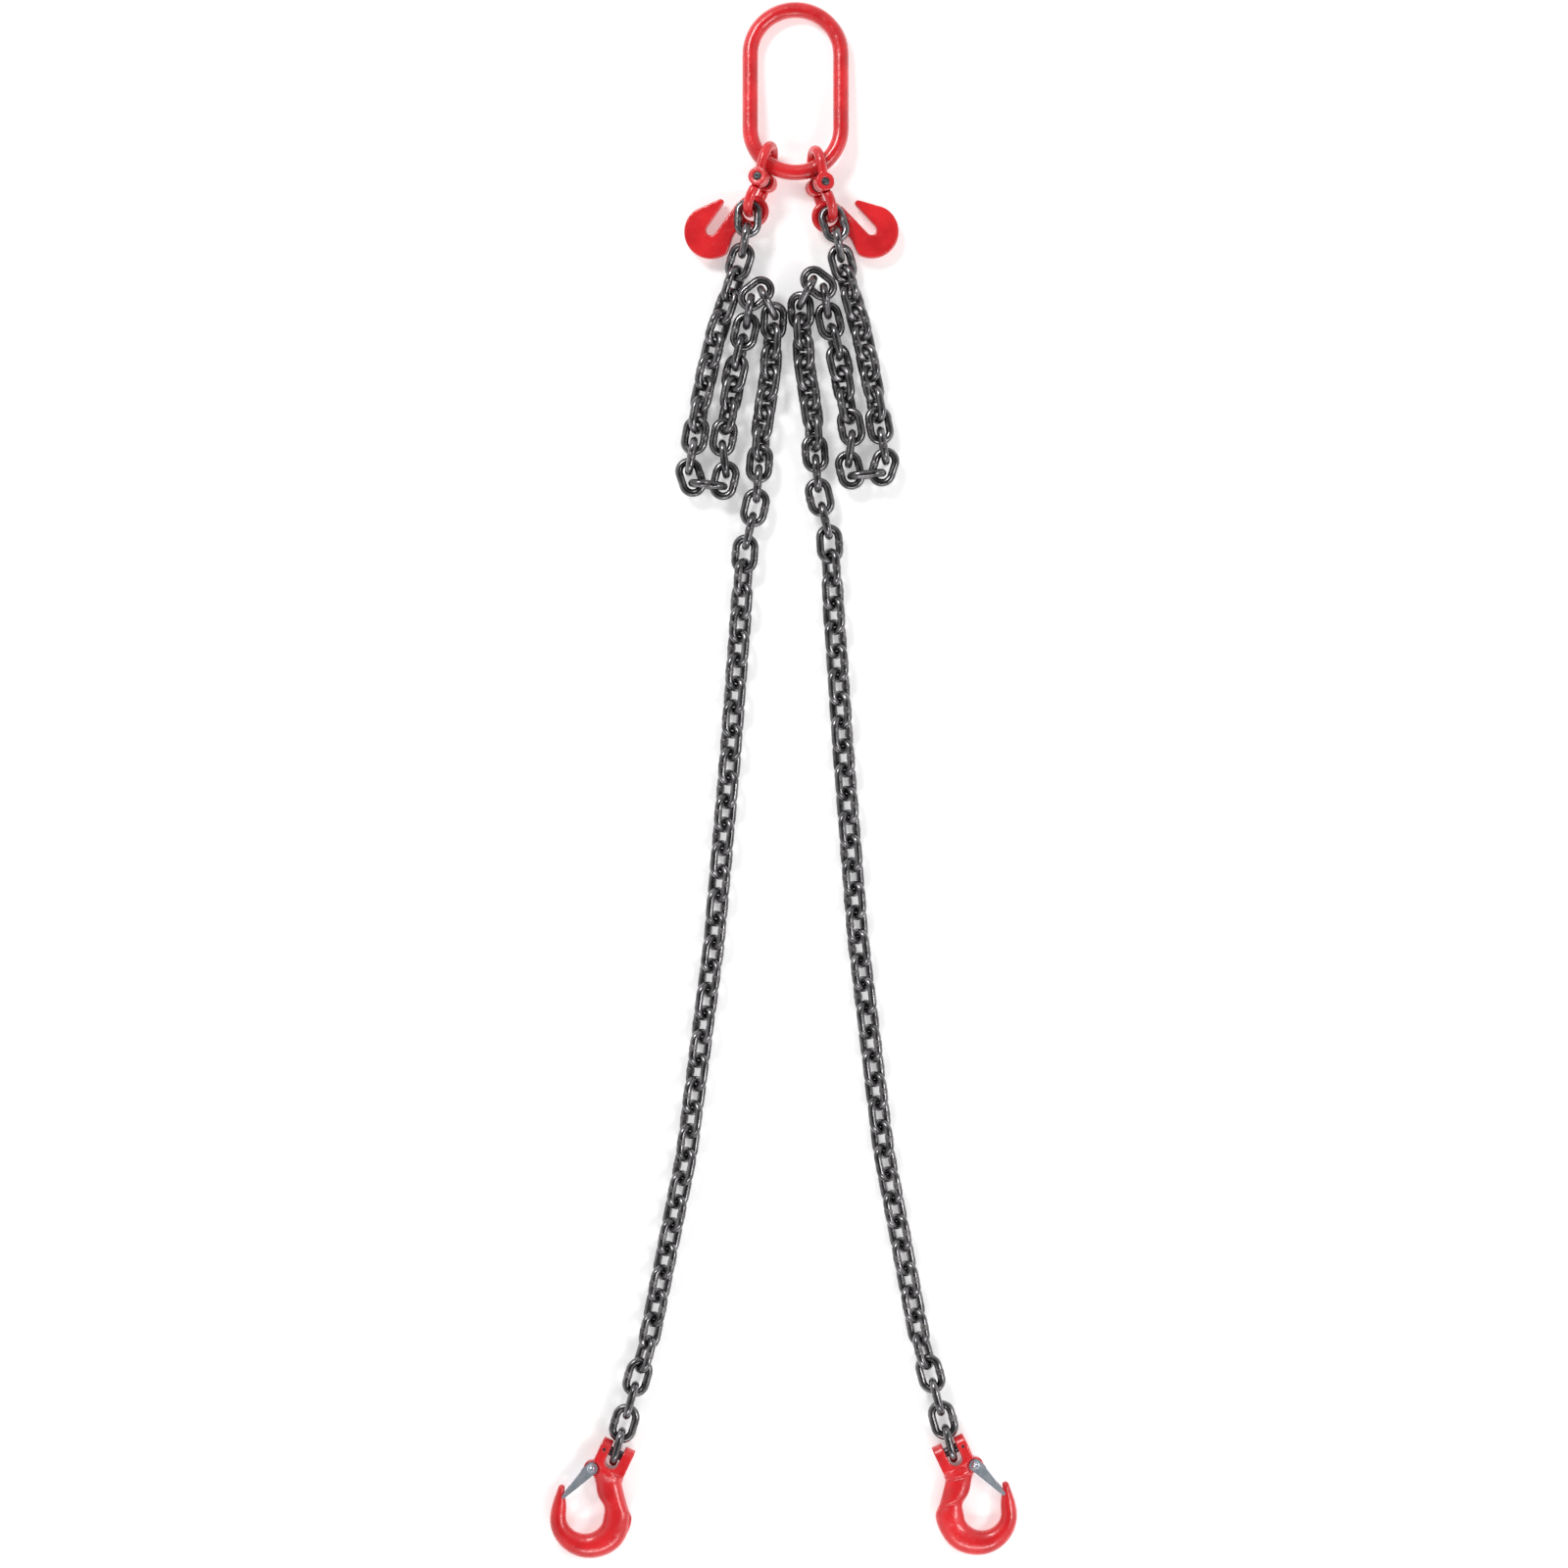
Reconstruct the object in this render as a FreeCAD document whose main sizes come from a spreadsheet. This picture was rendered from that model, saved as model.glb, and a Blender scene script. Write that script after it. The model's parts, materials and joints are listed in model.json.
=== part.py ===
"""Two leg chain sling with shortening hooks, laid out flat with its chains folded up.

Frame: millimetres, +Z up, the floor at z = 0, the master link at the +Y end and the
sling hooks at the -Y end. The origin is the middle of the footprint.
"""

import FreeCAD
import Part

import math
import os

Vector = FreeCAD.Vector
Rotation = FreeCAD.Rotation
Placement = FreeCAD.Placement

UP = Vector(0, 0, 1)
ORIGIN = Vector(0, 0, 0)

# ---------------------------------------------------------------- driving sizes

SIZES = {
    "chain_wire": (8.0, "wire of the 8 mm chain"),
    "chain_inner_length": (24.7, "inside length of a link, pulled pitch"),
    "chain_inner_width": (12.0, "inside width of a link"),
    "master_wire": (16.0, "bar of the master link"),
    "master_inner_length": (152.4, "inside length of the master link"),
    "master_inner_width": (76.2, "inside width of the master link"),
    "bow_wire": (10.0, "forged section of a coupling half"),
    "bow_inner_width": (24.0, "gap between a coupling half's arms"),
    "bow_reach": (40.5, "load pin centre to the outside of the bow"),
    "lug_radius": (9.5, "round lug about the coupling's load pin"),
    "lug_split": (14.05, "plane where the two halves' lugs meet"),
    "lug_gap": (0.15, "side clearance of a lug at that plane"),
    "inner_lug_face": (7.6, "inside face of the inner lug"),
    "coupling_pin_radius": (4.0, "coupling load pin"),
    "coupling_pin_length": (43.0, "coupling load pin"),
    "bush_radius": (6.0, "locking bush, outside"),
    "bush_length": (14.8, "locking bush"),
    "pin_clearance": (0.1, "radial clearance of every pin in its hole"),
    "clevis_pin_radius": (4.8, "sling hook load pin"),
    "clevis_pin_length": (34.0, "sling hook load pin"),
    "retaining_pin_radius": (1.5, "roll pin across the load pin"),
    "retaining_pin_length": (20.0, "roll pin across the load pin"),
    "retaining_pin_x": (-12.5, "roll pin, along the load pin"),
    "latch_pin_radius": (2.6, "latch rivet shank"),
    "latch_head_radius": (4.4, "latch rivet heads"),
    "latch_head_thickness": (1.3, "latch rivet heads"),
    "latch_sheet": (1.5, "latch plate thickness"),
    "latch_inner_width": (10.6, "gap between the latch's cheeks"),
    "latch_length": (42.2, "latch pivot to its point"),
    "spring_wire": (1.1, "latch spring wire"),
    "spring_radius": (4.2, "latch spring, middle of the coil"),
}

doc = FreeCAD.newDocument("chain_sling")
sheet = doc.addObject("Spreadsheet::Sheet", "sizes")
for row, (alias, (value, note)) in enumerate(SIZES.items(), start=1):
    sheet.set(f"A{row}", alias)
    sheet.set(f"B{row}", str(value))
    sheet.setAlias(f"B{row}", alias)
    sheet.set(f"C{row}", note)
doc.recompute()


def size(alias):
    return float(sheet.get(alias))


nodes = []


def add_node(thing, label):
    """Marks a document object as a kept sub-part under its node name."""
    thing.Label = label
    nodes.append(thing)
    return thing


def shape_node(label, shape, placement):
    """A sub-part whose shape is worked out here from the sheet's sizes."""
    feature = doc.addObject("Part::Feature", label)
    feature.Shape = shape
    feature.Placement = placement
    return add_node(feature, label)


def frame(origin, x_axis, y_axis):
    """Placement whose local X and Y point along the given directions."""
    z_axis = x_axis.cross(y_axis)
    return Placement(origin, Rotation(x_axis, y_axis, z_axis, "ZXY"))


def heading_vector(heading, pitch=0.0):
    """Unit vector from a compass angle about +Z and a slope above the floor, in degrees."""
    turn = math.radians(heading)
    slope = math.radians(pitch)
    return Vector(math.cos(turn) * math.cos(slope), math.sin(turn) * math.cos(slope), math.sin(slope))


# ---------------------------------------------------------------- rings

def ring(name, wire, inner_length, inner_width):
    """Oblong ring in the XY plane, long along Y: two half tori and two straight bars."""
    pieces = []
    for side in (1, -1):
        end = doc.addObject("Part::Torus", f"{name}_end")
        end.setExpression("Radius1", f"(sizes.{inner_width} + sizes.{wire}) / 2")
        end.setExpression("Radius2", f"sizes.{wire} / 2")
        end.Angle3 = 180
        end.Placement.Rotation = Rotation(UP, 90 - 90 * side)
        end.setExpression("Placement.Base.y", f"{side} * (sizes.{inner_length} - sizes.{inner_width}) / 2")
        bar = doc.addObject("Part::Cylinder", f"{name}_bar")
        bar.setExpression("Radius", f"sizes.{wire} / 2")
        bar.setExpression("Height", f"sizes.{inner_length} - sizes.{inner_width}")
        bar.Placement.Rotation = Rotation(Vector(1, 0, 0), -90)
        bar.setExpression("Placement.Base.x", f"{side} * (sizes.{inner_width} + sizes.{wire}) / 2")
        bar.setExpression("Placement.Base.y", f"-(sizes.{inner_length} - sizes.{inner_width}) / 2")
        pieces += [end, bar]
    whole = doc.addObject("Part::MultiFuse", name)
    whole.Shapes = pieces
    whole.Refine = True
    return whole


# ---------------------------------------------------------------- coupling link

COUPLING_ARM_START = 1.5   # where the arms run into the lugs, from the pin's centre


def coupling_half_shape():
    """Forged half of a coupling link.

    Local frame: load pin along Z through the origin, bow reaching along +Y. The outer lug
    is at +Z and the inner lug at -Z, so two halves turned end for end interleave.
    """
    wire = size("bow_wire") / 2
    arm = size("bow_inner_width") / 2 + wire
    turn = size("bow_reach") - wire - arm
    lug = size("lug_radius")
    split = size("lug_split")
    gap = size("lug_gap")
    outer_face = arm + wire
    inner_face = size("inner_lug_face")
    inner_middle = (split + inner_face) / 2

    arm_start = Vector(0, COUPLING_ARM_START, arm)
    corner = Vector(0, turn, arm)
    far_corner = Vector(0, turn, -arm)
    foot = Vector(0, COUPLING_ARM_START, -inner_middle)
    bend = Part.BSplineCurve()
    bend.interpolate([far_corner, foot], InitialTangent=Vector(0, -1, 0), FinalTangent=Vector(0, -1, 0.3))
    path = Part.Wire([
        Part.LineSegment(arm_start, corner).toShape(),
        Part.Arc(corner, Vector(0, turn + arm, 0), far_corner).toShape(),
        bend.toShape(),
    ])
    section = Part.Wire(Part.makeCircle(wire, arm_start, Vector(0, 1, 0)))
    arms = path.makePipeShell([section], True, True)

    def slab(bottom, height):
        """Box round the lugs that reaches just past them along the arms."""
        return Part.makeBox(4 * lug, 2 * lug + 2, height, Vector(-2 * lug, -lug - 1, bottom))

    outer_height = outer_face - split - gap
    inner_height = split - gap - inner_face
    kept = slab(split + gap, outer_height).fuse(slab(-split + gap, inner_height))
    arms = arms.cut(slab(-2 * outer_face, 4 * outer_face).cut(kept))

    outer_lug = Part.makeCylinder(lug, outer_height, Vector(0, 0, split + gap), UP)
    inner_lug = Part.makeCylinder(lug, inner_height, Vector(0, 0, -split + gap), UP)
    hole = Part.makeCylinder(size("coupling_pin_radius") + size("pin_clearance"), 4 * outer_face,
                             Vector(0, 0, -2 * outer_face), UP)
    return arms.fuse([outer_lug, inner_lug]).cut(hole)


def centred_cylinder(name, radius, length):
    """Cylinder along Z, centred on the origin, bound to two cells."""
    rod = doc.addObject("Part::Cylinder", name)
    rod.setExpression("Radius", f"sizes.{radius}")
    rod.setExpression("Height", f"sizes.{length}")
    return rod


# ---------------------------------------------------------------- shortening hook

GRAB_SLOT = 5.2            # half the slot that grips a chain link
GRAB_BODY_CENTRE = Vector(0.8, -1.5, 0)
GRAB_BODY_RADIUS = 27.3
GRAB_THICKNESS = 15.0
GRAB_BODY_TOP = 30.0       # where the body ends and the neck begins
GRAB_NECK_THICKNESS = 8.6
GRAB_RAMP_LENGTH = 14.0    # the body thins towards the neck over this length
GRAB_RAMP_EDGE = 4.0       # the tip's side of this line keeps its thickness
GRAB_EYE = Vector(23.0, 40.0, 0)
GRAB_EYE_RADIUS = 13.2
GRAB_EYE_WIRE = 3.8
GRAB_TIP = Vector(-8.4, 29.2, 0)
GRAB_TIP_RADIUS = 3.2
GRAB_TILT = 5.2            # the eye end is lifted by the coupling, degrees


def grab_hook_shape():
    """Eye type shortening hook lying in the XY plane, its slot opening along +Y."""
    def on_body(angle):
        turn = math.radians(angle)
        return GRAB_BODY_CENTRE + Vector(math.cos(turn), math.sin(turn), 0) * GRAB_BODY_RADIUS

    tip_left = GRAB_TIP + Vector(-0.87, 0.5, 0) * GRAB_TIP_RADIUS
    tip_top = GRAB_TIP + Vector(0.3, 0.954, 0) * GRAB_TIP_RADIUS
    tip_right = GRAB_TIP + Vector(1, 0, 0) * GRAB_TIP_RADIUS
    slot_left = Vector(-GRAB_SLOT, 0, 0)
    slot_right = Vector(GRAB_SLOT, 0, 0)
    neck_left = Vector(GRAB_SLOT, GRAB_BODY_TOP, 0)
    neck_right = Vector(30.5, 28.5, 0)
    waist = Part.BSplineCurve()
    waist.interpolate([neck_right, Vector(23.6, 20, 0), Vector(21.8, 9, 0), Vector(24.6, -1, 0),
                       on_body(-18)])
    edges = [
        Part.Arc(on_body(-18), on_body(-95), on_body(-180)).toShape(),
        Part.Arc(on_body(-180), on_body(-190), on_body(-200)).toShape(),
        Part.LineSegment(on_body(-200), tip_left).toShape(),
        Part.Arc(tip_left, tip_top, tip_right).toShape(),
        Part.LineSegment(tip_right, slot_left).toShape(),
        Part.Arc(slot_left, Vector(0, -GRAB_SLOT, 0), slot_right).toShape(),
        Part.LineSegment(slot_right, neck_left).toShape(),
        Part.LineSegment(neck_left, neck_right).toShape(),
        waist.toShape(),
    ]
    outline = Part.Face(Part.Wire(Part.__sortEdges__(edges)))
    outline.translate(Vector(0, 0, -GRAB_THICKNESS / 2))
    body = outline.extrude(Vector(0, 0, GRAB_THICKNESS))
    tapered = body
    for side in (1, -1):
        outside = side * (GRAB_THICKNESS / 2 + 0.5)
        corner = [Vector(-60, GRAB_BODY_TOP - GRAB_RAMP_LENGTH, outside),
                  Vector(-60, GRAB_BODY_TOP + 1, side * GRAB_NECK_THICKNESS / 2),
                  Vector(-60, GRAB_BODY_TOP + 1, outside)]
        wedge = Part.Face(Part.makePolygon(corner + [corner[0]])).extrude(Vector(120, 0, 0))
        tip_side = Part.makeBox(100, 40, 40, Vector(GRAB_RAMP_EDGE - 100, 0, -20))
        tapered = tapered.cut(wedge.cut(tip_side))
    neck_corners = [neck_left, Vector(GRAB_SLOT, 38, 0), GRAB_EYE, Vector(38, 36, 0), neck_right]
    neck = Part.Face(Part.makePolygon(neck_corners + [neck_left]))
    neck.translate(Vector(0, 0, -GRAB_NECK_THICKNESS / 2))
    neck = neck.extrude(Vector(0, 0, GRAB_NECK_THICKNESS))
    eye_hole = Part.makeCylinder(GRAB_EYE_RADIUS - 1.0, 40, GRAB_EYE - Vector(0, 0, 20), UP)
    eye = Part.makeTorus(GRAB_EYE_RADIUS, GRAB_EYE_WIRE, GRAB_EYE, UP)
    return tapered.fuse(neck).cut(eye_hole).fuse(eye).removeSplitter()


# ---------------------------------------------------------------- sling hook

FORK_HALF_WIDTH = 17.5
FORK_RADIUS = 10.9
FORK_SLOT = 6.8            # half the gap that takes the chain
FORK_SLOT_DEPTH = 15.5     # below the load pin's centre
BOWL_CENTRE = Vector(-1.3, -70.6, 0)
BOWL_RADIUS = 19.3
BACK_CENTRE = Vector(5.0, -71.4, 0)      # the outside of the bowl is a larger circle
BACK_RADIUS = 41.0
BOWL_THICKNESS = 20.0
LATCH_PIVOT = Vector(-15.8, -23.8, 0)
LATCH_BOSS_RADIUS = 8.0
LATCH_POINT = Vector(-29.9, -64.9, 0)
LATCH_ROOT_RADIUS = 6.4
LATCH_POINT_RADIUS = 1.8
LATCH_WEB_START = 10.0     # the web that joins the cheeks, from the pivot
LATCH_WEB_SHORT = 13.0     # and the length it leaves free at the point
BOSS_TOP = 5.2             # half the boss that the latch straddles
BOSS_SPRING_SEAT = 1.2     # floor of the pocket for the latch spring


def oval(inner, outer, thickness):
    """Closed oval section between two points of the hook's outline."""
    middle = (inner + outer) / 2
    width = (outer - inner).Length / 2
    along = (outer - inner).normalize()
    count = 8
    curve = Part.BSplineCurve()
    points = []
    for step in range(count):
        turn = 2 * math.pi * step / count
        points.append(middle + along * (width * math.cos(turn)) + UP * (thickness / 2 * math.sin(turn)))
    curve.interpolate(points, PeriodicFlag=True)
    return Part.Wire(curve.toShape())


def bowl_section(angle, thickness):
    """Section of the bowl on a ray from the bowl's centre, angle below the back side."""
    turn = math.radians(-angle)
    ray = Vector(math.cos(turn), math.sin(turn), 0)
    offset = BOWL_CENTRE - BACK_CENTRE
    along = offset.dot(ray)
    reach = -along + math.sqrt(along * along - offset.Length ** 2 + BACK_RADIUS ** 2)
    return oval(BOWL_CENTRE + ray * BOWL_RADIUS, BOWL_CENTRE + ray * reach, thickness)


def sling_hook_shape():
    """Forged clevis sling hook in the XY plane: load pin along X through the origin, bowl at -Y."""
    sections = [
        oval(Vector(-15.5, -19, 0), Vector(17.0, -16, 0), 21),
        oval(Vector(-11.5, -30, 0), Vector(18.3, -25, 0), 19),
        oval(Vector(-3.5, -39.5, 0), Vector(25.5, -34, 0), 18),
        oval(Vector(7.0, -50.5, 0), Vector(36.5, -46.5, 0), 18.5),
        bowl_section(-28, 19.5),
        bowl_section(0, BOWL_THICKNESS),
        bowl_section(35, BOWL_THICKNESS),
        bowl_section(70, BOWL_THICKNESS),
        bowl_section(105, 19),
        bowl_section(140, 17),
        bowl_section(170, 14.5),
        oval(Vector(-25.6, -64.5, 0), Vector(-37.4, -62.3, 0), 11),
        oval(Vector(-30.2, -57.2, 0), Vector(-38.2, -56.0, 0), 8.5),
    ]
    bowl = Part.makeLoft(sections, True, False)
    tip = Part.makeSphere(3.6, Vector(-34.4, -55.8, 0))
    fork = Part.makeCylinder(FORK_RADIUS, 2 * FORK_HALF_WIDTH, Vector(-FORK_HALF_WIDTH, 0, 0),
                             Vector(1, 0, 0))
    waist = Part.makeBox(2 * FORK_HALF_WIDTH, 20, 22, Vector(-FORK_HALF_WIDTH, -20, -11))
    waist = waist.makeFillet(3.5, [edge for edge in waist.Edges if edge.BoundBox.YMin < -19.9
                                   and edge.BoundBox.YLength < 0.01])
    boss = Part.makeCylinder(LATCH_BOSS_RADIUS, 2 * BOSS_TOP, LATCH_PIVOT - UP * BOSS_TOP, UP)
    whole = bowl.fuse([tip, fork, waist, boss])
    slot_floor = FORK_SLOT_DEPTH - FORK_SLOT
    slot = Part.makeBox(2 * FORK_SLOT, slot_floor + 20, 40, Vector(-FORK_SLOT, -slot_floor, -20))
    slot_end = Part.makeCylinder(FORK_SLOT, 40, Vector(0, -slot_floor, -20), UP)
    clearance = size("pin_clearance")
    pin_hole = Part.makeCylinder(size("clevis_pin_radius") + clearance, 60, Vector(-30, 0, 0),
                                 Vector(1, 0, 0))
    roll_hole = Part.makeCylinder(size("retaining_pin_radius") + clearance, 40,
                                  Vector(size("retaining_pin_x"), 0, -20), UP)
    rivet_hole = Part.makeCylinder(size("latch_pin_radius") + clearance, 60, LATCH_PIVOT - UP * 30, UP)
    cuts = [slot, slot_end, pin_hole, roll_hole, rivet_hole]
    pocket = LATCH_BOSS_RADIUS + 0.6
    pocket_depth = 20
    cuts.append(Part.makeCylinder(pocket, pocket_depth, LATCH_PIVOT + UP * BOSS_TOP, UP))
    cuts.append(Part.makeCylinder(pocket, pocket_depth, LATCH_PIVOT - UP * (BOSS_TOP + pocket_depth), UP))
    coil = size("spring_radius") + size("spring_wire") / 2 + 0.4
    cuts.append(Part.makeCylinder(coil, 10, LATCH_PIVOT + UP * BOSS_SPRING_SEAT, UP))
    return whole.cut(cuts).removeSplitter()


def clevis_pin_shape():
    """Load pin of the sling hook along X, with the cross hole of its roll pin."""
    length = size("clevis_pin_length")
    pin = Part.makeCylinder(size("clevis_pin_radius"), length, Vector(-length / 2, 0, 0), Vector(1, 0, 0))
    hole = Part.makeCylinder(size("retaining_pin_radius") + size("pin_clearance"), 20,
                             Vector(size("retaining_pin_x"), 0, -10), UP)
    return pin.cut(hole)


def latch_shape():
    """Pressed latch: two tapering cheeks joined along their outer edge by a web.

    Local frame: pivot along Z through the origin, the point of the latch along +Y, the
    bowl of the hook on the +X side.
    """
    sheet_thickness = size("latch_sheet")
    inner = size("latch_inner_width") / 2
    length = size("latch_length")
    root = LATCH_ROOT_RADIUS
    point = LATCH_POINT_RADIUS
    lean = math.asin((root - point) / (length - point))
    normal_left = Vector(-math.cos(lean), math.sin(lean), 0)
    normal_right = Vector(math.cos(lean), math.sin(lean), 0)
    end = Vector(0, length - point, 0)
    edges = [
        Part.Arc(normal_left * root, Vector(0, -root, 0), normal_right * root).toShape(),
        Part.LineSegment(normal_right * root, end + normal_right * point).toShape(),
        Part.Arc(end + normal_right * point, end + Vector(0, point, 0), end + normal_left * point).toShape(),
        Part.LineSegment(end + normal_left * point, normal_left * root).toShape(),
    ]
    outline = Part.Face(Part.Wire(edges))
    hole = Part.makeCylinder(size("latch_pin_radius") + size("pin_clearance"), 60, Vector(0, 0, -30), UP)
    cheeks = []
    for base in (inner, -inner - sheet_thickness):
        cheek = outline.extrude(Vector(0, 0, sheet_thickness))
        cheek.translate(Vector(0, 0, base))
        cheeks.append(cheek)
    web_start = LATCH_WEB_START
    web_end = length - LATCH_WEB_SHORT
    tall = 2 * (inner + sheet_thickness)
    blank = outline.extrude(Vector(0, 0, tall))
    blank.translate(Vector(0, 0, -tall / 2))
    inward = outline.copy()
    inward.translate(Vector(sheet_thickness / math.cos(lean), 0, 0))
    core = inward.extrude(Vector(0, 0, tall))
    core.translate(Vector(0, 0, -tall / 2))
    window = Part.makeBox(40, web_end - web_start, tall, Vector(-20, web_start, -tall / 2))
    web = blank.cut(core).common(window)
    return cheeks[0].fuse([cheeks[1], web]).cut(hole).removeSplitter()


def rivet_shape():
    """Latch rivet along Z, with a low head outside each cheek."""
    grip = size("latch_inner_width") / 2 + size("latch_sheet") + 0.1
    head = size("latch_head_thickness")
    wide = size("latch_head_radius")
    shank = Part.makeCylinder(size("latch_pin_radius"), 2 * grip + 0.2, Vector(0, 0, -grip - 0.1), UP)
    top = Part.makeCone(wide, wide - 1.2, head, Vector(0, 0, grip), UP)
    bottom = Part.makeCone(wide, wide - 1.2, head, Vector(0, 0, -grip), Vector(0, 0, -1))
    return shank.fuse([top, bottom])


def spring_shape():
    """Torsion spring about the latch rivet: a short coil, its wire swept along a smooth helix."""
    wire = size("spring_wire") / 2
    radius = size("spring_radius")
    pitch = size("spring_wire") + 0.1
    turns = 2.25
    points_a_turn = 12
    start = BOSS_SPRING_SEAT + 0.2 + wire
    points = []
    for step in range(int(turns * points_a_turn) + 1):
        turn = step / points_a_turn
        angle = 2 * math.pi * turn
        points.append(Vector(radius * math.cos(angle), radius * math.sin(angle), start + pitch * turn))
    coil = Part.BSplineCurve()
    coil.interpolate(points)
    path = Part.Wire(coil.toShape())
    section = Part.Wire(Part.makeCircle(wire, points[0], coil.tangent(0)[0]))
    return path.makePipeShell([section], True, True)


# ---------------------------------------------------------------- chain lay

def half_link():
    """Link centre to the middle of the wire at its crown."""
    return (size("chain_inner_length") + size("chain_wire")) / 2


def half_arm():
    """Link centre line to the middle of the wire at its side."""
    return (size("chain_inner_width") + size("chain_wire")) / 2


class Link:
    """One link: its centre, the way the chain runs, and the direction across its hole."""

    def __init__(self, centre, along, across):
        self.centre = centre
        self.along = along
        self.across = across

    def crown(self, end):
        """Middle of the wire at one end."""
        return self.centre + self.along * (end * half_link())

    def bend(self, end):
        """Centre that the wire bends round at one end."""
        return self.centre + self.along * (end * (half_link() - half_arm()))

    def placement(self):
        return frame(self.centre, self.across, self.along)


def across_direction(along, roll):
    """Direction across a link's hole, turned by roll degrees from the horizontal."""
    level = UP.cross(along).normalize()
    lifted = along.cross(level)
    turn = math.radians(roll)
    return level * math.cos(turn) + lifted * math.sin(turn)


def next_link(previous, along, roll, gap):
    """The link hooked through the previous one; the wires cross with a given gap between centres."""
    across = across_direction(along, roll)
    pull = previous.along.cross(previous.across).cross(along.cross(across)).normalize()
    if pull.dot(previous.along + along) < 0:
        pull = pull * -1
    bend = previous.bend(1) + pull * (2 * half_arm() - gap)
    return Link(bend + along * (half_link() - half_arm()), along, across)


def approach(value, target, step):
    return value + max(-step, min(step, target - value))


# The lay of the left leg, run by run: how many links, where they go, and the roll that odd
# links settle to (even links stand across odd ones). A run either brings the far bend of its
# last link to a point, or each of its links has a fixed heading and slope.
FLAT, EDGE, TILTED = 0, 90, 45
ROLL_STEP = 16             # most that the roll changes from one link to the next, degrees
STEEPEST = 17              # steepest a link lies when it drops to its resting height, degrees
TURN_SLACK = 2.5           # looseness of the joints round the turns of the fold

FOLD = [
    (4, (-71.1, 457.7), None, TILTED),
    (3, (-84.1, 390.4), None, TILTED),
    (3, (-95.6, 326.9), None, FLAT),
    (1, None, (-72, 0), FLAT),
    (1, None, (-6, 0), FLAT),
    (1, None, (76, 0), FLAT),
    (1, None, (97, 0), FLAT),
    (3, (-49.3, 402.6), None, TILTED),
    (3, (-36.8, 466.0), None, EDGE),
    (1, None, (80, 40), EDGE),
    (1, None, (38, 0), EDGE),
    (1, None, (-62, -29), EDGE),
    (3, (-17.0, 424.7), None, TILTED),
    (3, (-22.7, 360.7), None, TILTED),
    (3, (-27.5, 299.8), None, FLAT),
    (2, (-38.7, 249.8), None, FLAT),
]
LONG_LEG = [
    (9, (-52.5, 35.7), None, TILTED),
    (8, (-70.7, -155.3), None, TILTED),
    (9, (-98.5, -371.3), None, TILTED),
    (8, (-137.0, -563.2), None, TILTED),
    (5, (-170.6, -681.1), None, EDGE),
]
LINK_GAP = 8.3             # between wire centres where two links are pulled tight
LOOSEST_GAP = 12.0         # the same, pushed together until every other link nearly meets
SEGMENT_LINKS = (5, 7, 4, 10, 5, 5, 6, 7, 7, 7, 6, 6)
COUPLING_LEAN = 16         # the coupling's pin leans outward at the top, degrees
EYE_SEAT_ANGLE = -30       # where the shortening hook's eye sits on the lower bow, degrees
FLOOR_MARGIN = 1.1         # keeps a link that is part way through its roll off the floor


class Leg:
    """Where one leg's pieces lie. side is -1 for the left leg and +1 for the right leg."""

    def __init__(self, name, side, pin, bow_headings, eye_offset, slot_heading, shift,
                 first_slopes, first_gap):
        self.name = name
        self.side = side
        self.pin = pin
        self.bow_headings = bow_headings
        self.eye_offset = eye_offset
        self.slot_heading = slot_heading
        self.shift = shift
        self.first_slopes = first_slopes
        self.first_gap = first_gap

    def mirrored(self, point):
        """A left leg point moved to this leg; the shift fades out towards the hooks."""
        if self.side < 0:
            return point
        share = max(0.0, min(1.0, (point.y + 680.0) / 900.0))
        return Vector(-point.x, point.y, point.z) + self.shift * share

    def mirrored_heading(self, heading):
        return heading if self.side < 0 else 180 - heading


LEGS = [
    Leg("left", -1, Vector(-21.4, 612.9, 23.9), (76, -114), Vector(0.2, 0.5, 0.4), 54.5,
        Vector(0, 0, 0), ((-92, 7), (-101, -42)), 8.6),
    Leg("right", 1, Vector(36.2, 608.0, 23.9), (98.6, -70), Vector(-0.1, 0.5, 0.3), 133.5,
        Vector(6.8, 10.5, 0), ((-72, 8), (-80, -46)), 9.0),
]


def pin_axis(leg, bow_heading):
    """Coupling pin direction: square to the bow, leaning outward at the top."""
    bow = heading_vector(bow_heading)
    outward = bow.cross(UP) * leg.side
    if outward.x * leg.side < 0:
        outward = outward * -1
    lean = math.radians(COUPLING_LEAN)
    return UP * math.cos(lean) + outward * math.sin(lean)


def bow_point(leg, angle):
    """Middle of the lower bow's wire, angle degrees above the level of the pin's centre."""
    wire = size("bow_wire") / 2
    arm = size("bow_inner_width") / 2 + wire
    turn = size("bow_reach") - wire - arm
    along = lower_bow_direction(leg)
    axis = pin_axis(leg, leg.bow_headings[0])
    tip = math.radians(angle)
    return leg.pin + along * (turn + arm * math.cos(tip)) + axis * (arm * math.sin(tip))


def lower_bow_direction(leg):
    """Lower bow direction, kept square to the leaning pin."""
    axis = pin_axis(leg, leg.bow_headings[0])
    along = heading_vector(leg.bow_headings[1])
    return (along - axis * along.dot(axis)).normalize()


def resting_height(roll):
    """Height of the chain's centre line when links of this roll lie on the floor."""
    turn = math.radians(roll)
    return size("chain_wire") / 2 + half_arm() * max(abs(math.sin(turn)), abs(math.cos(turn))) + FLOOR_MARGIN


def level_off(height, rest):
    """Slope in degrees that brings the next link to the height where it rests."""
    drop = (rest - height) / (2 * half_link() - LINK_GAP)
    return max(-STEEPEST, min(STEEPEST, math.degrees(math.asin(max(-1, min(1, drop))))))


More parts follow.
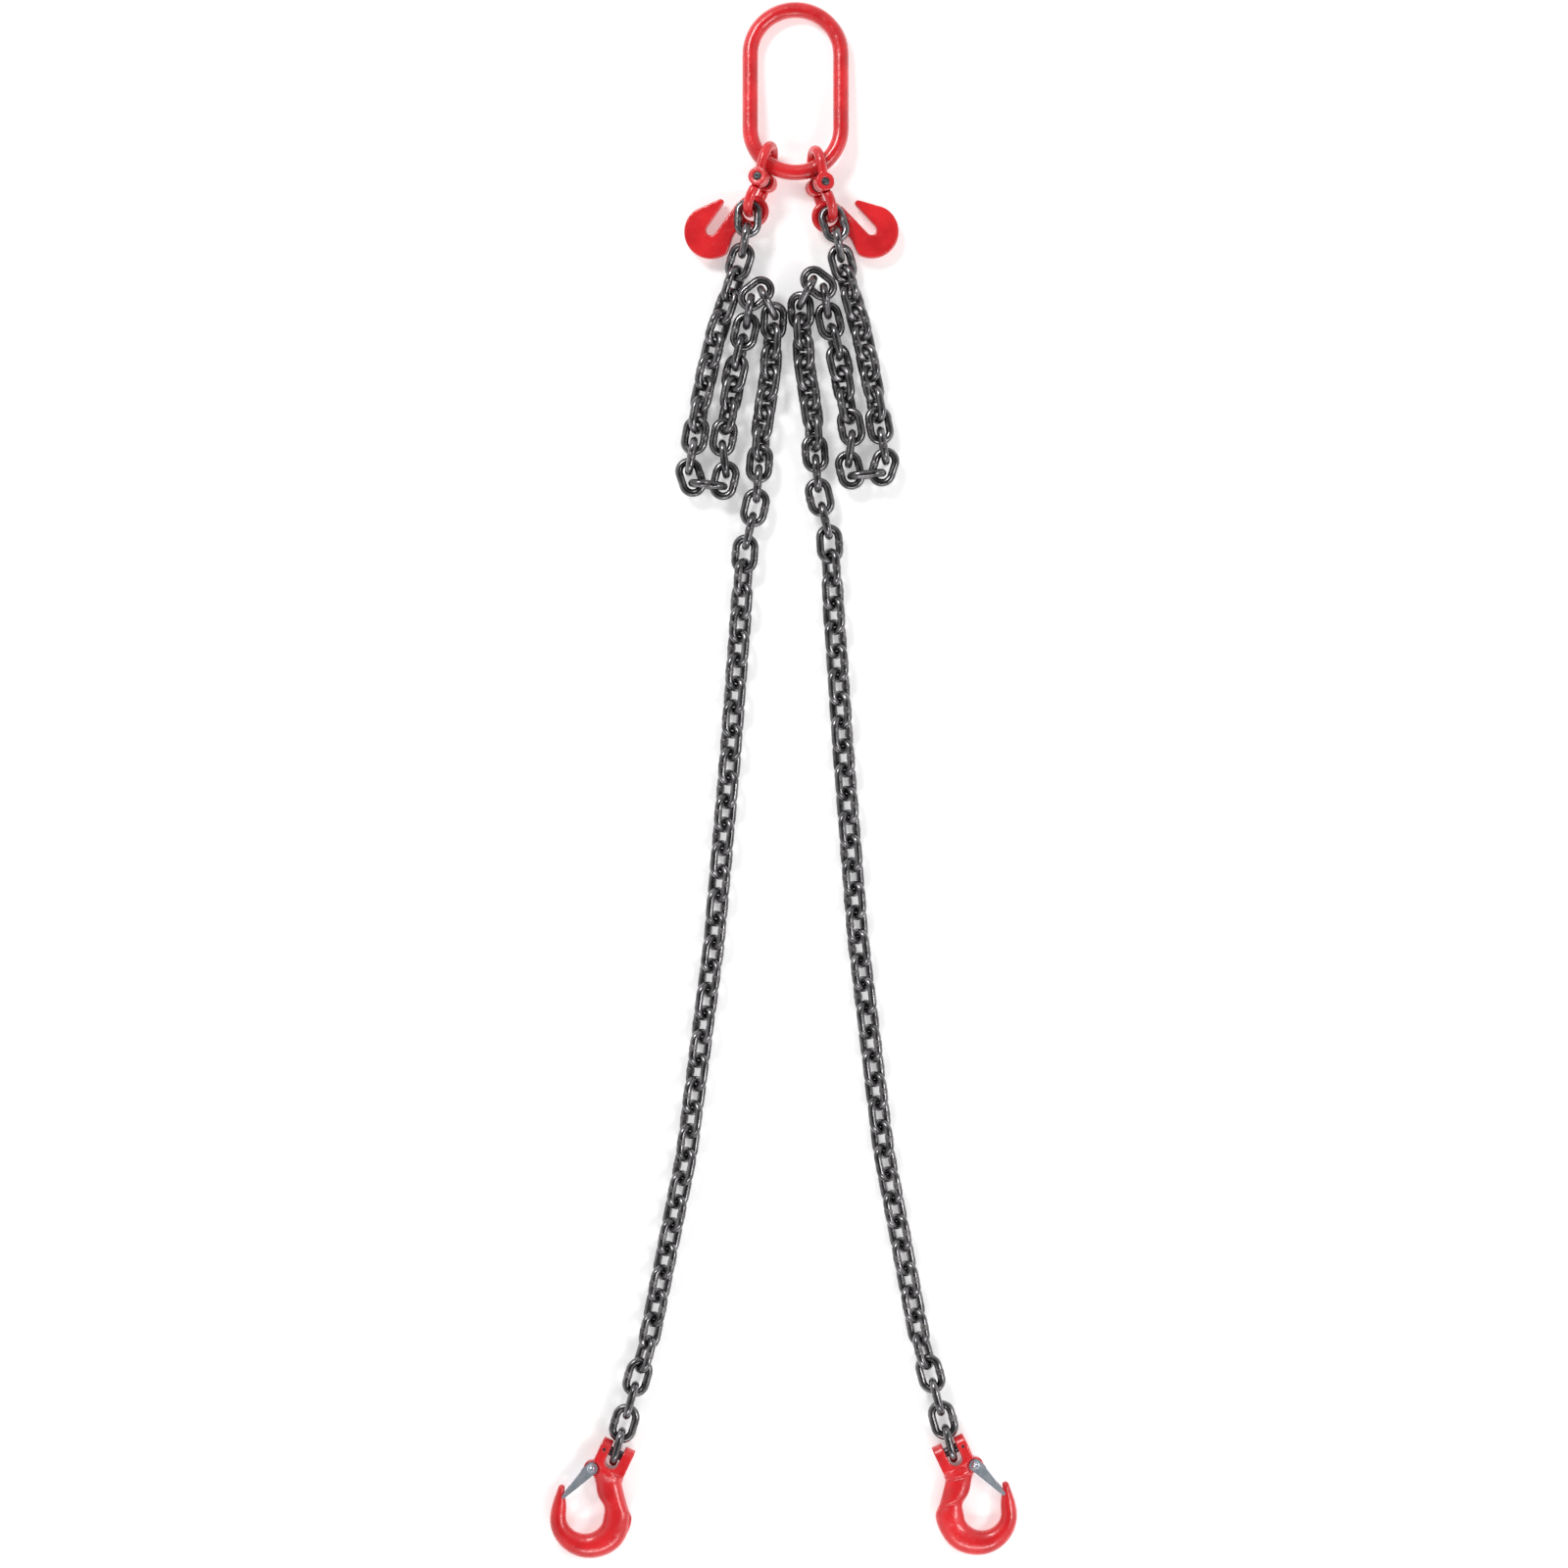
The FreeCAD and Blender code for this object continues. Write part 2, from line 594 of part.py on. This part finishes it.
def first_link(leg, along):
    """The link on the lower bow, lying flat and hooked through it like the next link through it."""
    across = across_direction(along, 0)
    axis = pin_axis(leg, leg.bow_headings[0])
    bow = lower_bow_direction(leg)
    pull = bow.cross(axis).cross(along.cross(across)).normalize()
    if pull.dot(bow) < 0:
        pull = pull * -1
    wire = size("bow_wire") / 2
    arm = size("bow_inner_width") / 2 + wire
    turn = leg.pin + bow * (size("bow_reach") - wire - arm)
    gap = wire + size("chain_wire") / 2 + 0.3
    bend = turn + pull * (arm + half_arm() - gap)
    return Link(bend + along * (half_link() - half_arm()), along, across)


def chain_links(leg):
    """All the links of a leg, from the coupling to the sling hook."""
    heading, slope = leg.first_slopes[0]
    along = heading_vector(heading, slope)
    first = first_link(leg, along)
    along = heading_vector(*leg.first_slopes[1])
    links = [first, next_link(first, along, 90, leg.first_gap)]
    roll = 0.0
    for count, point, fixed, rest_roll in FOLD + LONG_LEG:
        gap = LINK_GAP + TURN_SLACK
        if point:
            goal = leg.mirrored(Vector(*point, 0)) - links[-1].bend(1)
            heading = math.degrees(math.atan2(goal.y, goal.x))
            spacing = math.hypot(goal.x, goal.y) / count
            gap = max(LINK_GAP, min(LOOSEST_GAP, 2 * half_link() - spacing))
        for _ in range(count):
            previous = links[-1]
            roll = approach(roll, rest_roll, ROLL_STEP)
            if point:
                rest = max(resting_height(roll), resting_height(approach(roll, rest_roll, ROLL_STEP)))
                along = heading_vector(heading, level_off(previous.bend(1).z, rest))
            else:
                along = heading_vector(leg.mirrored_heading(fixed[0]), fixed[1])
            turned = roll + 90 * (len(links) % 2)
            links.append(next_link(previous, along, turned if leg.side < 0 else 180 - turned, gap))
    return links


# ---------------------------------------------------------------- assembly

MASTER_CENTRE = Vector(11.8, 704.5, 0)
MASTER_LOW_END = 22.2      # height of the bar where the couplings hang on it

master = ring("master_ring", "master_wire", "master_inner_length", "master_inner_width")
half_length = (size("master_inner_length") + size("master_wire")) / 2
far_height = size("master_wire") / 2 + 0.05
master_slope = math.degrees(math.asin((MASTER_LOW_END - far_height) / (2 * half_length - 12)))
master_height = far_height + half_length * math.sin(math.radians(master_slope))
master.Placement = Placement(MASTER_CENTRE + UP * master_height, Rotation(Vector(1, 0, 0), -master_slope))
add_node(master, "master_link")

link_template = ring("link_template", "chain_wire", "chain_inner_length", "chain_inner_width")
doc.recompute()

half_shape = coupling_half_shape()
grab_shape = grab_hook_shape()
hook_shape = sling_hook_shape()
hook_pin_shape = clevis_pin_shape()
latch_solid = latch_shape()
rivet_solid = rivet_shape()
spring_solid = spring_shape()


def add_coupling(leg):
    """Two interleaved halves, the load pin and the locking bush of one coupling link."""
    axis = pin_axis(leg, leg.bow_headings[0])
    upper = heading_vector(leg.bow_headings[0])
    upper = (upper - axis * upper.dot(axis)).normalize()
    lower = lower_bow_direction(leg)
    shape_node(f"{leg.name}_coupling_upper_half", half_shape, frame(leg.pin, upper.cross(axis), upper))
    shape_node(f"{leg.name}_coupling_lower_half", half_shape, frame(leg.pin, lower.cross(axis * -1), lower))
    turned = frame(leg.pin, upper.cross(axis), upper)
    pin = centred_cylinder(f"{leg.name}_pin", "coupling_pin_radius", "coupling_pin_length")
    pin.Placement = turned.multiply(Placement(UP * (-size("coupling_pin_length") / 2), Rotation()))
    add_node(pin, f"{leg.name}_coupling_load_pin")
    outer = centred_cylinder(f"{leg.name}_bush_outside", "bush_radius", "bush_length")
    hole = centred_cylinder(f"{leg.name}_bush_bore", "coupling_pin_radius", "bush_length")
    hole.setExpression("Radius", "sizes.coupling_pin_radius + sizes.pin_clearance")
    bush = doc.addObject("Part::Cut", f"{leg.name}_bush")
    bush.Base = outer
    bush.Tool = hole
    bush.Placement = turned.multiply(Placement(UP * (-size("bush_length") / 2), Rotation()))
    add_node(bush, f"{leg.name}_coupling_locking_bush")


def add_grab_hook(leg):
    """Shortening hook, its eye round the lower bow; the right hook is the left one turned over."""
    seat = bow_point(leg, EYE_SEAT_ANGLE) + leg.eye_offset
    slot = heading_vector(leg.slot_heading, GRAB_TILT)
    level = heading_vector(leg.slot_heading + 90 * leg.side)
    turned = frame(ORIGIN, level, slot)
    place = Placement(seat - turned.Rotation.multVec(GRAB_EYE), turned.Rotation)
    shape_node(f"{leg.name}_grab_hook", grab_shape, place)


def add_chain(leg):
    """Chain links grouped into short segments, one node each."""
    links = chain_links(leg)
    first = 0
    for number, count in enumerate(SEGMENT_LINKS, start=1):
        members = []
        for link in links[first:first + count]:
            solid = link_template.Shape.copy()
            solid.Placement = link.placement()
            members.append(solid)
        shape_node(f"{leg.name}_chain_{number:02d}", Part.makeCompound(members), Placement())
        first += count
    return links


HOOK_HEADING = -115.5      # way the left hook's load line points
HOOK_SLOPE = -2.1          # the bowl is thinner than the fork and drops to the floor


def add_sling_hook(leg, last):
    """Clevis hook and its small parts; the right hook is the left one turned over."""
    reach = half_link() - size("chain_wire") / 2 - size("clevis_pin_radius") - 0.3
    pin_centre = last.centre + last.along * reach
    down = heading_vector(leg.mirrored_heading(HOOK_HEADING), HOOK_SLOPE)
    inward = heading_vector(leg.mirrored_heading(HOOK_HEADING) - 90 * leg.side)
    place = frame(pin_centre, inward, down * -1)
    shape_node(f"{leg.name}_sling_hook", hook_shape, place)
    shape_node(f"{leg.name}_hook_load_pin", hook_pin_shape, place)
    roll_pin = centred_cylinder(f"{leg.name}_roll_pin", "retaining_pin_radius", "retaining_pin_length")
    seat = Vector(size("retaining_pin_x"), 0, -size("retaining_pin_length") / 2)
    roll_pin.Placement = place.multiply(Placement(seat, Rotation()))
    add_node(roll_pin, f"{leg.name}_hook_retaining_pin")
    reach_out = (LATCH_POINT - LATCH_PIVOT).normalize()
    bowl_side = Vector(-reach_out.y, reach_out.x, 0)
    latch_frame = frame(LATCH_PIVOT, bowl_side, reach_out)
    shape_node(f"{leg.name}_latch", latch_solid, place.multiply(latch_frame))
    centred = Placement(LATCH_PIVOT, Rotation())
    shape_node(f"{leg.name}_latch_pin", rivet_solid, place.multiply(centred))
    shape_node(f"{leg.name}_latch_spring", spring_solid, place.multiply(centred))


lays = {}
for leg in LEGS:
    add_coupling(leg)
    add_grab_hook(leg)
    lays[leg.name] = add_chain(leg)
    add_sling_hook(leg, lays[leg.name][-1])
doc.recompute()

# ---------------------------------------------------------------- footprint

# The lay above starts from the middle between the chains. This puts the origin under the
# middle of the whole footprint.
FOOTPRINT_SHIFT = Vector(0.46, -4.2, 0.02)
for node in nodes:
    node.Placement = Placement(FOOTPRINT_SHIFT, Rotation()).multiply(node.Placement)
doc.recompute()

# ---------------------------------------------------------------- checks and export

for thing in doc.Objects:
    if "Invalid" in thing.State or "Error" in thing.State:
        raise RuntimeError(f"{thing.Label} failed to build")
for node in nodes:
    if node.Shape.isNull() or not node.Shape.isValid():
        raise RuntimeError(f"{node.Label} has no valid shape")

os.makedirs("parts", exist_ok=True)
for node in nodes:
    node.Shape.exportStep(f"parts/{node.Label}.step")
print(f"{len(nodes)} sub-parts, {len(lays['left'])} links a leg")
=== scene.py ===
"""Looks of the two leg chain sling: forged red fittings, dark welded chain, zinc plated latches."""

import json
import math

import bpy
import numpy as np
from mathutils import Matrix, Vector


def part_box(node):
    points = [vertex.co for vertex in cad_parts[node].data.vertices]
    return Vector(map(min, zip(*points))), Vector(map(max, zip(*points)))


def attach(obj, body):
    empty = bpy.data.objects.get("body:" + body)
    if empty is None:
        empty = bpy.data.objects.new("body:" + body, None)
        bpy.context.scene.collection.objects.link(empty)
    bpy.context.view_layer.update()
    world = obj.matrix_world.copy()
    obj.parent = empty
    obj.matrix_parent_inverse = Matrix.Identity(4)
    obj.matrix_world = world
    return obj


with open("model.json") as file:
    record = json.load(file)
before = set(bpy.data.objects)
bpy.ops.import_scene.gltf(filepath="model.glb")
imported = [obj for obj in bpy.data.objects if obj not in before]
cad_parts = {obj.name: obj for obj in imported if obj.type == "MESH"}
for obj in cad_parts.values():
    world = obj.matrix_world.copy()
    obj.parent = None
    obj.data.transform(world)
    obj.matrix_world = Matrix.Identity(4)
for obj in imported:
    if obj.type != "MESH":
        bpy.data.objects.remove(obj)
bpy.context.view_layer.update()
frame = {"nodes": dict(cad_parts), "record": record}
nodes = frame["nodes"]
link_counts = frame["record"]["physics"]["collision_pieces"]

LEGS = ("left", "right")
LINK_WIRE_RADIUS = 0.004
LINK_SIDE = 0.010            # link's centre line to the middle of its side
LINK_LENGTH = (0.039, 0.043)  # outside sizes that a link's mesh has to fall between
LINK_WIDTH = (0.026, 0.030)
MASTER_WIRE_RADIUS = 0.008
MASTER_WELD_ANGLE = -62      # where the weld sits on the lower bend, degrees

FORGED_VOXEL = 0.0007        # remesh size that rounds the edges of a forging
FORGED_SMOOTHING = {         # smoothing passes after the remesh: more passes, rounder rims
    "sling_hook": 12,
    "grab_hook": 34,
    "upper_half": 10,
    "lower_half": 10,
}


# ---------------------------------------------------------------- materials

class Shader:
    """A node material under construction."""

    def __init__(self, name):
        self.material = bpy.data.materials.new(name)
        self.material.use_nodes = True
        self.tree = self.material.node_tree
        self.surface = self.tree.nodes["Principled BSDF"]
        self.place = self.node("ShaderNodeTexCoord").outputs["Object"]

    def node(self, kind, **settings):
        made = self.tree.nodes.new(kind)
        for key, value in settings.items():
            setattr(made, key, value)
        return made

    def link(self, source, target):
        self.tree.links.new(source, target)

    def set(self, **sockets):
        """Constants go on the surface's own sockets."""
        for key, value in sockets.items():
            self.surface.inputs[key.replace("_", " ")].default_value = value

    def noise(self, scale, detail=3.0, roughness=0.5):
        made = self.node("ShaderNodeTexNoise")
        made.inputs["Scale"].default_value = scale
        made.inputs["Detail"].default_value = detail
        made.inputs["Roughness"].default_value = roughness
        self.link(self.place, made.inputs["Vector"])
        return made.outputs["Fac"]

    def ramp(self, source, stops):
        """Colour ramp through (position, colour) stops."""
        made = self.node("ShaderNodeValToRGB")
        elements = made.color_ramp.elements
        while len(elements) < len(stops):
            elements.new(0.5)
        for element, (position, colour) in zip(elements, stops):
            element.position = position
            element.color = (*colour, 1.0)
        self.link(source, made.inputs["Fac"])
        return made.outputs["Color"]

    def span(self, source, low, high):
        """source, from 0 to 1, moved to run from low to high."""
        made = self.node("ShaderNodeMapRange")
        made.inputs["To Min"].default_value = low
        made.inputs["To Max"].default_value = high
        self.link(source, made.inputs["Value"])
        return made.outputs["Result"]

    def mix(self, share, first, second, blend="MIX"):
        """Two colours mixed; each is a socket or a colour, and share is a socket or a number."""
        made = self.node("ShaderNodeMix", data_type="RGBA", blend_type=blend)
        for socket, value in ((made.inputs[0], share), (made.inputs[6], first), (made.inputs[7], second)):
            if isinstance(value, bpy.types.NodeSocket):
                self.link(value, socket)
            elif isinstance(value, tuple):
                socket.default_value = (*value, 1.0)
            else:
                socket.default_value = value
        return made.outputs[2]

    def bump(self, *layers):
        """Bumps laid over each other: (height socket, depth in metres)."""
        normal = None
        for height, depth in layers:
            made = self.node("ShaderNodeBump")
            made.inputs["Strength"].default_value = 1.0
            made.inputs["Distance"].default_value = depth
            self.link(height, made.inputs["Height"])
            if normal:
                self.link(normal, made.inputs["Normal"])
            normal = made.outputs["Normal"]
        self.link(normal, self.surface.inputs["Normal"])


def red_powder_coat():
    """Thick glossy powder coat over a forging: orange peel, soft dents, a few darker scuffs and painted
    shade in the creases.
    """
    shader = Shader("red_powder_coat")
    tone = shader.ramp(shader.noise(38, 4), [(0.32, (0.60, 0.009, 0.014)), (0.68, (0.83, 0.020, 0.026))])
    # Painted shade: pointiness darkens the hollows and creases strongly and the convex rims a little,
    # multiplied into the red.
    painted_crease_shade_and_rim_tone = shader.ramp(shader.node("ShaderNodeNewGeometry").outputs["Pointiness"],
                       [(0.40, (0.35, 0.35, 0.35)), (0.50, (1.0, 1.0, 1.0)), (0.60, (0.80, 0.80, 0.80))])
    tone = shader.mix(0.55, tone, painted_crease_shade_and_rim_tone, "MULTIPLY")
    scuffs = shader.ramp(shader.noise(420, 6, 0.7), [(0.66, (0.0, 0.0, 0.0)), (0.74, (1.0, 1.0, 1.0))])
    tone = shader.mix(shader.span(scuffs, 0.0, 0.35), tone, (0.20, 0.02, 0.02))
    shader.link(tone, shader.surface.inputs["Base Color"])
    shader.link(shader.span(shader.noise(170), 0.20, 0.42), shader.surface.inputs["Roughness"])
    shader.set(Coat_Weight=0.6, Coat_Roughness=0.14, Specular_IOR_Level=0.55)
    shader.bump((shader.noise(120, 2), 0.0009), (shader.noise(900, 2), 0.00012))
    return shader.material


def steel(name, dark, light, roughness, dents, grain=700, metallic=1.0):
    """Bare or plated steel: blotchy tone, uneven polish, shallow dents and fine scratches."""
    shader = Shader(name)
    tone = shader.ramp(shader.noise(90, 5, 0.6), [(0.30, dark), (0.72, light)])
    shader.link(tone, shader.surface.inputs["Base Color"])
    shader.link(shader.span(shader.noise(210, 5), *roughness), shader.surface.inputs["Roughness"])
    shader.set(Metallic=metallic)
    shader.bump((shader.noise(160, 3), dents), (shader.noise(grain, 4, 0.7), 0.00005))
    return shader.material


MATERIALS = {
    "red_paint": red_powder_coat(),
    "chain_steel": steel("chain_steel", (0.075, 0.072, 0.076), (0.30, 0.29, 0.30), (0.16, 0.32), 0.0002),
    "weld_steel": steel("weld_steel", (0.10, 0.095, 0.095), (0.28, 0.27, 0.27), (0.34, 0.52), 0.0004),
    "pin_steel": steel("pin_steel", (0.06, 0.06, 0.065), (0.16, 0.16, 0.17), (0.28, 0.45), 0.00015),
    "zinc_plate": steel("zinc_plate", (0.48, 0.54, 0.62), (0.72, 0.77, 0.85), (0.18, 0.34), 0.0001,
                        grain=1500, metallic=0.75),
    "spring_steel": steel("spring_steel", (0.22, 0.22, 0.24), (0.38, 0.38, 0.40), (0.25, 0.40), 0.0001),
}
CAD_SLOTS = {row["node"]: row["material_slot"] for row in frame["record"]["subparts"]}


def finish_with(thing, slot):
    thing.data.materials.clear()
    thing.data.materials.append(MATERIALS[slot])


# ---------------------------------------------------------------- CAD nodes

def soften_forging(thing, passes):
    """Rounds the edges of a forging without touching its mesh."""
    remesh = thing.modifiers.new("forged_skin", "REMESH")
    remesh.mode = "VOXEL"
    remesh.voxel_size = FORGED_VOXEL
    remesh.use_smooth_shade = True
    smooth = thing.modifiers.new("forged_edges", "SMOOTH")
    smooth.factor = 0.5
    smooth.iterations = passes


for node_name, node_object in nodes.items():
    finish_with(node_object, CAD_SLOTS[node_name])
    for ending, passes in FORGED_SMOOTHING.items():
        if node_name.endswith(ending):
            soften_forging(node_object, passes)


# ---------------------------------------------------------------- built pieces

def body_holding(node_name):
    """Name of the CAD body that a node belongs to."""
    for name, members in frame["record"]["behaviour"]["bodies"].items():
        if node_name in members:
            return name
    raise KeyError(node_name)


def new_piece(name, vertices, faces, slot, body):
    """A smooth shaded piece that rides on a CAD body."""
    mesh = bpy.data.meshes.new(name)
    mesh.from_pydata([tuple(point) for point in vertices], [], faces)
    mesh.validate()
    mesh.shade_smooth()
    thing = bpy.data.objects.new(name, mesh)
    bpy.context.scene.collection.objects.link(thing)
    thing.data.materials.append(MATERIALS[slot])
    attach(thing, body)
    return thing


def bead(centre, axis, radius, length, height, around=28, along=9):
    """A low raised band round a bar: its vertices and faces, closed where it meets the bar."""
    axis = Vector(axis).normalized()
    side = axis.orthogonal().normalized()
    other = axis.cross(side)
    rows = []
    for step in range(along):
        share = step / (along - 1)
        lift = height * math.sin(math.pi * share) ** 0.8
        rows.append((length * (share - 0.5), radius - 0.0001 + lift))
    rows.append((length * 0.5, radius * 0.7))
    rows.append((-length * 0.5, radius * 0.7))
    vertices = []
    for offset, reach in rows:
        for step in range(around):
            turn = 2 * math.pi * step / around
            wobble = 1 + 0.012 * math.sin(5 * turn + 3 * offset / length)
            ray = side * math.cos(turn) + other * math.sin(turn)
            vertices.append(Vector(centre) + axis * offset + ray * (reach * wobble))
    faces = []
    for row in range(len(rows)):
        following = (row + 1) % len(rows)
        for step in range(around):
            after = (step + 1) % around
            faces.append((row * around + step, row * around + after,
                          following * around + after, following * around + step))
    return vertices, faces


def links_of(node_name):
    """Centre, length direction and width direction of each link of a chain segment."""
    mesh = nodes[node_name].data
    points = np.empty(len(mesh.vertices) * 3)
    mesh.vertices.foreach_get("co", points)
    count = link_counts[node_name]
    for link in points.reshape(count, -1, 3):
        centre = link.mean(axis=0)
        _, _, directions = np.linalg.svd(link - centre, full_matrices=False)
        spans = [np.ptp((link - centre) @ direction) for direction in directions]
        if not (LINK_LENGTH[0] < spans[0] < LINK_LENGTH[1] and LINK_WIDTH[0] < spans[1] < LINK_WIDTH[1]):
            raise ValueError(f"{node_name} isn't made of equal links")
        yield centre, directions[0], directions[1]


def add_chain_welds(node_name):
    """The butt weld in the middle of one side of every link."""
    vertices, faces = [], []
    for number, (centre, along, across) in enumerate(links_of(node_name)):
        side = 1 if number % 2 else -1
        points, quads = bead(centre + across * LINK_SIDE * side, along, LINK_WIRE_RADIUS, 0.0062, 0.00042)
        faces += [tuple(index + len(vertices) for index in quad) for quad in quads]
        vertices += points
    new_piece(f"{node_name}_welds", vertices, faces, "weld_steel", body_holding(node_name))


def add_master_weld():
    """The painted over weld band in the lower bend of the master link."""
    low, high = (Vector(corner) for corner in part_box("master_link"))
    width = high.x - low.x
    bend = Vector(((low.x + high.x) / 2, low.y + width / 2, 0))
    slope = (high.z - low.z - 2 * MASTER_WIRE_RADIUS) / (high.y - low.y - 2 * MASTER_WIRE_RADIUS)
    turn = math.radians(MASTER_WELD_ANGLE)
    radius = width / 2 - MASTER_WIRE_RADIUS
    spot = bend + Vector((math.cos(turn), math.sin(turn), 0)) * radius
    spot.z = high.z - MASTER_WIRE_RADIUS - slope * (spot.y - low.y - MASTER_WIRE_RADIUS)
    along = Vector((-math.sin(turn), math.cos(turn), -slope * math.cos(turn)))
    vertices, faces = bead(spot, along, MASTER_WIRE_RADIUS, 0.009, 0.0005, around=48)
    new_piece("master_link_weld", vertices, faces, "red_paint", "master")


def turned_disc(centre, axis, profile, around=40):
    """A turned shape: profile is (radius, height along the axis) from the middle outwards."""
    axis = Vector(axis).normalized()
    side = axis.orthogonal().normalized()
    other = axis.cross(side)
    vertices = []
    for reach, height in profile:
        for step in range(around):
            turn = 2 * math.pi * step / around
            ray = side * math.cos(turn) + other * math.sin(turn)
            vertices.append(Vector(centre) + axis * height + ray * reach)
    faces = []
    for row in range(len(profile) - 1):
        for step in range(around):
            after = (step + 1) % around
            faces.append((row * around + step, row * around + after,
                          (row + 1) * around + after, (row + 1) * around + step))
    faces.append(tuple(reversed(range(around))))
    faces.append(tuple(range((len(profile) - 1) * around, len(profile) * around)))
    return vertices, faces


def long_axis(node_name):
    """Middle, direction and length of a straight pin."""
    mesh = nodes[node_name].data
    points = np.empty(len(mesh.vertices) * 3)
    mesh.vertices.foreach_get("co", points)
    points = points.reshape(-1, 3)
    low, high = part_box(node_name)
    middle = (np.array(low) + np.array(high)) / 2
    _, _, directions = np.linalg.svd(points - points.mean(axis=0), full_matrices=False)
    reach = (points - middle) @ directions[0]
    direction = Vector(directions[0])
    return Vector(middle), direction, float(np.ptp(reach))


def add_rivet_dimple(leg):
    """The domed ring that riveting leaves on the upper head of the latch rivet."""
    middle, direction, length = long_axis(f"{leg}_latch_pin")
    if direction.z < 0:
        direction = -direction
    top = middle + direction * (length / 2 - 0.0002)
    ring = [(0.0029, 0.0), (0.0028, 0.0005), (0.0022, 0.0007), (0.0016, 0.0005), (0.0009, 0.00025)]
    vertices, faces = turned_disc(top, direction, ring)
    new_piece(f"{leg}_latch_rivet_dome", vertices, faces, "zinc_plate", f"{leg}_hook")


def add_pin_chamfer(leg):
    """The turned end of the coupling's load pin, just proud of the outer lug."""
    middle, direction, length = long_axis(f"{leg}_coupling_load_pin")
    if direction.z < 0:
        direction = -direction
    top = middle + direction * (length / 2 - 0.0001)
    end = [(0.0038, 0.0), (0.0037, 0.0004), (0.0032, 0.0009), (0.0012, 0.0010), (0.0008, 0.0005)]
    vertices, faces = turned_disc(top, direction, end)
    new_piece(f"{leg}_coupling_pin_end", vertices, faces, "pin_steel", f"{leg}_coupling_upper")


add_master_weld()
for chain_node in sorted(name for name in nodes if "_chain_" in name):
    add_chain_welds(chain_node)
for leg_name in LEGS:
    add_rivet_dimple(leg_name)
    add_pin_chamfer(leg_name)


# ---------------------------------------------------------------- studio

def add_floor():
    half = 60.0
    mesh = bpy.data.meshes.new("floor")
    corners = [(-half, -half, 0), (half, -half, 0), (half, half, 0), (-half, half, 0)]
    mesh.from_pydata(corners, [], [(0, 1, 2, 3)])
    floor = bpy.data.objects.new("floor", mesh)
    bpy.context.scene.collection.objects.link(floor)
    paper = Shader("floor_paper")
    tone = paper.ramp(paper.noise(3), [(0.3, (0.90, 0.90, 0.90)), (0.7, (0.92, 0.92, 0.92))])
    paper.link(tone, paper.surface.inputs["Base Color"])
    paper.set(Roughness=0.9, Emission_Color=(1.0, 1.0, 1.0, 1.0), Emission_Strength=0.35)
    floor.data.materials.append(paper.material)


def add_light(name, place, aim, across, power):
    data = bpy.data.lights.new(name, "AREA")
    data.shape = "RECTANGLE"
    data.size, data.size_y = across
    data.energy = power
    lamp = bpy.data.objects.new(name, data)
    lamp.location = place
    lamp.rotation_euler = (Vector(aim) - Vector(place)).to_track_quat("-Z", "Y").to_euler()
    bpy.context.scene.collection.objects.link(lamp)


def add_world():
    """White walls round the table and a darker ceiling, so that what faces up keeps its colour."""
    world = bpy.data.worlds.new("studio")
    world.use_nodes = True
    tree = world.node_tree
    place = tree.nodes.new("ShaderNodeTexCoord")
    split = tree.nodes.new("ShaderNodeSeparateXYZ")
    ramp = tree.nodes.new("ShaderNodeValToRGB")
    tree.links.new(place.outputs["Generated"], split.inputs["Vector"])
    tree.links.new(split.outputs["Z"], ramp.inputs["Fac"])
    stops = [(0.0, 0.55), (0.35, 0.95), (0.72, 0.60), (0.93, 0.10)]
    while len(ramp.color_ramp.elements) < len(stops):
        ramp.color_ramp.elements.new(0.5)
    for element, (height, grey) in zip(ramp.color_ramp.elements, stops):
        element.position = height
        element.color = (grey, grey, grey, 1.0)
    tree.links.new(ramp.outputs["Color"], tree.nodes["Background"].inputs["Color"])
    tree.nodes["Background"].inputs["Strength"].default_value = 0.8
    bpy.context.scene.world = world


def add_camera():
    """Straight above the sling, from the height the object was seen from."""
    height = 4.4
    field = 1.6
    data = bpy.data.cameras.new("camera")
    data.sensor_width = 36.0
    data.lens = data.sensor_width * height / field
    camera = bpy.data.objects.new("camera", data)
    camera.matrix_world = Matrix.Translation((0.0005, -0.0042, height))
    bpy.context.scene.collection.objects.link(camera)
    bpy.context.scene.camera = camera


add_floor()
add_light("key", (-1.2, 2.1, 2.2), (0, 0.1, 0), (1.0, 0.5), 44)
add_light("fill", (1.9, -0.6, 2.2), (0, 0, 0), (1.2, 0.6), 24)
add_light("rim", (0.2, -2.2, 1.6), (0, 0, 0), (1.6, 0.3), 16)
add_world()
add_camera()
bpy.context.scene.view_settings.view_transform = "Standard"
